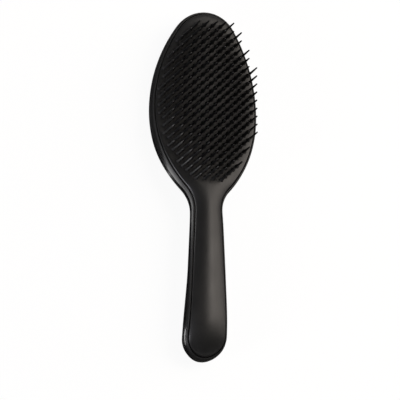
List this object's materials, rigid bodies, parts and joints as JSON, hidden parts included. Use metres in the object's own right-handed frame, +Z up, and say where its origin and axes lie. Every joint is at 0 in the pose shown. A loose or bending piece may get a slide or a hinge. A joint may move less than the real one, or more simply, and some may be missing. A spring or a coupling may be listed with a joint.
{
  "type": "detangling hair brush",
  "caption": "Paddle detangling hair brush: oval head with long and short flexible teeth, satin front panel set in a rounded rear shell, hollow-backed tapered handle.",
  "frame": {"origin": "under the middle of the brush, on the surface that its back lies on", "axes": "+Y from the handle to the head, +Z up along the teeth, +X to the right"},
  "size_m": [0.0754, 0.245, 0.0476],
  "materials": {
    "shell_plastic": "semi-gloss black moulding",
    "panel_plastic": "satin black moulding",
    "tooth_plastic": "flexible satin black plastic"
  },
  "bodies": {
    "brush": {"rear_shell": "shell_plastic", "front_panel": "panel_plastic"},
    "short_teeth_left_11": {"short_teeth_left_11": "tooth_plastic"},
    "long_teeth_left_10": {"long_teeth_left_10": "tooth_plastic"},
    "short_teeth_left_09": {"short_teeth_left_09": "tooth_plastic"},
    "long_teeth_left_08": {"long_teeth_left_08": "tooth_plastic"},
    "short_teeth_left_07": {"short_teeth_left_07": "tooth_plastic"},
    "long_teeth_left_06": {"long_teeth_left_06": "tooth_plastic"},
    "short_teeth_left_05": {"short_teeth_left_05": "tooth_plastic"},
    "long_teeth_left_04": {"long_teeth_left_04": "tooth_plastic"},
    "short_teeth_left_03": {"short_teeth_left_03": "tooth_plastic"},
    "long_teeth_left_02": {"long_teeth_left_02": "tooth_plastic"},
    "short_teeth_left_01": {"short_teeth_left_01": "tooth_plastic"},
    "long_teeth_middle": {"long_teeth_middle": "tooth_plastic"},
    "short_teeth_right_01": {"short_teeth_right_01": "tooth_plastic"},
    "long_teeth_right_02": {"long_teeth_right_02": "tooth_plastic"},
    "short_teeth_right_03": {"short_teeth_right_03": "tooth_plastic"},
    "long_teeth_right_04": {"long_teeth_right_04": "tooth_plastic"},
    "short_teeth_right_05": {"short_teeth_right_05": "tooth_plastic"},
    "long_teeth_right_06": {"long_teeth_right_06": "tooth_plastic"},
    "short_teeth_right_07": {"short_teeth_right_07": "tooth_plastic"},
    "long_teeth_right_08": {"long_teeth_right_08": "tooth_plastic"},
    "short_teeth_right_09": {"short_teeth_right_09": "tooth_plastic"},
    "long_teeth_right_10": {"long_teeth_right_10": "tooth_plastic"},
    "short_teeth_right_11": {"short_teeth_right_11": "tooth_plastic"}
  },
  "joints": [
    {"name": "short_teeth_left_11_bend", "type": "hinge", "parent": "brush", "child": "short_teeth_left_11", "pos_m": [-0.03281, 0.055, 0.01965], "axis": [0, 1, 0], "range_deg": [-15, 15], "stiffness_Nm_per_rad": 0.0108},
    {"name": "long_teeth_left_10_bend", "type": "hinge", "parent": "brush", "child": "long_teeth_left_10", "pos_m": [-0.02982, 0.055, 0.02058], "axis": [0, 1, 0], "range_deg": [-15, 15], "stiffness_Nm_per_rad": 0.0135},
    {"name": "short_teeth_left_09_bend", "type": "hinge", "parent": "brush", "child": "short_teeth_left_09", "pos_m": [-0.02684, 0.055, 0.02144], "axis": [0, 1, 0], "range_deg": [-15, 15], "stiffness_Nm_per_rad": 0.0324},
    {"name": "long_teeth_left_08_bend", "type": "hinge", "parent": "brush", "child": "long_teeth_left_08", "pos_m": [-0.02386, 0.055, 0.0221], "axis": [0, 1, 0], "range_deg": [-15, 15], "stiffness_Nm_per_rad": 0.0195},
    {"name": "short_teeth_left_07_bend", "type": "hinge", "parent": "brush", "child": "short_teeth_left_07", "pos_m": [-0.02088, 0.055, 0.02283], "axis": [0, 1, 0], "range_deg": [-15, 15], "stiffness_Nm_per_rad": 0.0432},
    {"name": "long_teeth_left_06_bend", "type": "hinge", "parent": "brush", "child": "long_teeth_left_06", "pos_m": [-0.01789, 0.055, 0.02342], "axis": [0, 1, 0], "range_deg": [-15, 15], "stiffness_Nm_per_rad": 0.0255},
    {"name": "short_teeth_left_05_bend", "type": "hinge", "parent": "brush", "child": "short_teeth_left_05", "pos_m": [-0.01491, 0.055, 0.02397], "axis": [0, 1, 0], "range_deg": [-15, 15], "stiffness_Nm_per_rad": 0.0486},
    {"name": "long_teeth_left_04_bend", "type": "hinge", "parent": "brush", "child": "long_teeth_left_04", "pos_m": [-0.01193, 0.055, 0.02449], "axis": [0, 1, 0], "range_deg": [-15, 15], "stiffness_Nm_per_rad": 0.0285},
    {"name": "short_teeth_left_03_bend", "type": "hinge", "parent": "brush", "child": "short_teeth_left_03", "pos_m": [-0.00895, 0.055, 0.02496], "axis": [0, 1, 0], "range_deg": [-15, 15], "stiffness_Nm_per_rad": 0.054},
    {"name": "long_teeth_left_02_bend", "type": "hinge", "parent": "brush", "child": "long_teeth_left_02", "pos_m": [-0.00596, 0.055, 0.02515], "axis": [0, 1, 0], "range_deg": [-15, 15], "stiffness_Nm_per_rad": 0.0285},
    {"name": "short_teeth_left_01_bend", "type": "hinge", "parent": "brush", "child": "short_teeth_left_01", "pos_m": [-0.00298, 0.055, 0.02548], "axis": [0, 1, 0], "range_deg": [-15, 15], "stiffness_Nm_per_rad": 0.054},
    {"name": "long_teeth_middle_bend", "type": "hinge", "parent": "brush", "child": "long_teeth_middle", "pos_m": [0, 0.055, 0.02537], "axis": [0, 1, 0], "range_deg": [-15, 15], "stiffness_Nm_per_rad": 0.0285},
    {"name": "short_teeth_right_01_bend", "type": "hinge", "parent": "brush", "child": "short_teeth_right_01", "pos_m": [0.00298, 0.055, 0.02548], "axis": [0, 1, 0], "range_deg": [-15, 15], "stiffness_Nm_per_rad": 0.054},
    {"name": "long_teeth_right_02_bend", "type": "hinge", "parent": "brush", "child": "long_teeth_right_02", "pos_m": [0.00596, 0.055, 0.02515], "axis": [0, 1, 0], "range_deg": [-15, 15], "stiffness_Nm_per_rad": 0.0285},
    {"name": "short_teeth_right_03_bend", "type": "hinge", "parent": "brush", "child": "short_teeth_right_03", "pos_m": [0.00895, 0.055, 0.02496], "axis": [0, 1, 0], "range_deg": [-15, 15], "stiffness_Nm_per_rad": 0.054},
    {"name": "long_teeth_right_04_bend", "type": "hinge", "parent": "brush", "child": "long_teeth_right_04", "pos_m": [0.01193, 0.055, 0.02449], "axis": [0, 1, 0], "range_deg": [-15, 15], "stiffness_Nm_per_rad": 0.0285},
    {"name": "short_teeth_right_05_bend", "type": "hinge", "parent": "brush", "child": "short_teeth_right_05", "pos_m": [0.01491, 0.055, 0.02397], "axis": [0, 1, 0], "range_deg": [-15, 15], "stiffness_Nm_per_rad": 0.0486},
    {"name": "long_teeth_right_06_bend", "type": "hinge", "parent": "brush", "child": "long_teeth_right_06", "pos_m": [0.01789, 0.055, 0.02342], "axis": [0, 1, 0], "range_deg": [-15, 15], "stiffness_Nm_per_rad": 0.0255},
    {"name": "short_teeth_right_07_bend", "type": "hinge", "parent": "brush", "child": "short_teeth_right_07", "pos_m": [0.02088, 0.055, 0.02283], "axis": [0, 1, 0], "range_deg": [-15, 15], "stiffness_Nm_per_rad": 0.0432},
    {"name": "long_teeth_right_08_bend", "type": "hinge", "parent": "brush", "child": "long_teeth_right_08", "pos_m": [0.02386, 0.055, 0.0221], "axis": [0, 1, 0], "range_deg": [-15, 15], "stiffness_Nm_per_rad": 0.0195},
    {"name": "short_teeth_right_09_bend", "type": "hinge", "parent": "brush", "child": "short_teeth_right_09", "pos_m": [0.02684, 0.055, 0.02144], "axis": [0, 1, 0], "range_deg": [-15, 15], "stiffness_Nm_per_rad": 0.0324},
    {"name": "long_teeth_right_10_bend", "type": "hinge", "parent": "brush", "child": "long_teeth_right_10", "pos_m": [0.02982, 0.055, 0.02058], "axis": [0, 1, 0], "range_deg": [-15, 15], "stiffness_Nm_per_rad": 0.0135},
    {"name": "short_teeth_right_11_bend", "type": "hinge", "parent": "brush", "child": "short_teeth_right_11", "pos_m": [0.03281, 0.055, 0.01965], "axis": [0, 1, 0], "range_deg": [-15, 15], "stiffness_Nm_per_rad": 0.0108}
  ],
  "couplings": [
    {"joint": "short_teeth_left_11_bend", "follows": "short_teeth_left_01_bend", "ratio": 1},
    {"joint": "long_teeth_left_10_bend", "follows": "long_teeth_middle_bend", "ratio": 1},
    {"joint": "short_teeth_left_09_bend", "follows": "short_teeth_left_01_bend", "ratio": 1},
    {"joint": "long_teeth_left_08_bend", "follows": "long_teeth_middle_bend", "ratio": 1},
    {"joint": "short_teeth_left_07_bend", "follows": "short_teeth_left_01_bend", "ratio": 1},
    {"joint": "long_teeth_left_06_bend", "follows": "long_teeth_middle_bend", "ratio": 1},
    {"joint": "short_teeth_left_05_bend", "follows": "short_teeth_left_01_bend", "ratio": 1},
    {"joint": "long_teeth_left_04_bend", "follows": "long_teeth_middle_bend", "ratio": 1},
    {"joint": "short_teeth_left_03_bend", "follows": "short_teeth_left_01_bend", "ratio": 1},
    {"joint": "long_teeth_left_02_bend", "follows": "long_teeth_middle_bend", "ratio": 1},
    {"joint": "short_teeth_right_01_bend", "follows": "short_teeth_left_01_bend", "ratio": 1},
    {"joint": "long_teeth_right_02_bend", "follows": "long_teeth_middle_bend", "ratio": 1},
    {"joint": "short_teeth_right_03_bend", "follows": "short_teeth_left_01_bend", "ratio": 1},
    {"joint": "long_teeth_right_04_bend", "follows": "long_teeth_middle_bend", "ratio": 1},
    {"joint": "short_teeth_right_05_bend", "follows": "short_teeth_left_01_bend", "ratio": 1},
    {"joint": "long_teeth_right_06_bend", "follows": "long_teeth_middle_bend", "ratio": 1},
    {"joint": "short_teeth_right_07_bend", "follows": "short_teeth_left_01_bend", "ratio": 1},
    {"joint": "long_teeth_right_08_bend", "follows": "long_teeth_middle_bend", "ratio": 1},
    {"joint": "short_teeth_right_09_bend", "follows": "short_teeth_left_01_bend", "ratio": 1},
    {"joint": "long_teeth_right_10_bend", "follows": "long_teeth_middle_bend", "ratio": 1},
    {"joint": "short_teeth_right_11_bend", "follows": "short_teeth_left_01_bend", "ratio": 1}
  ]
}
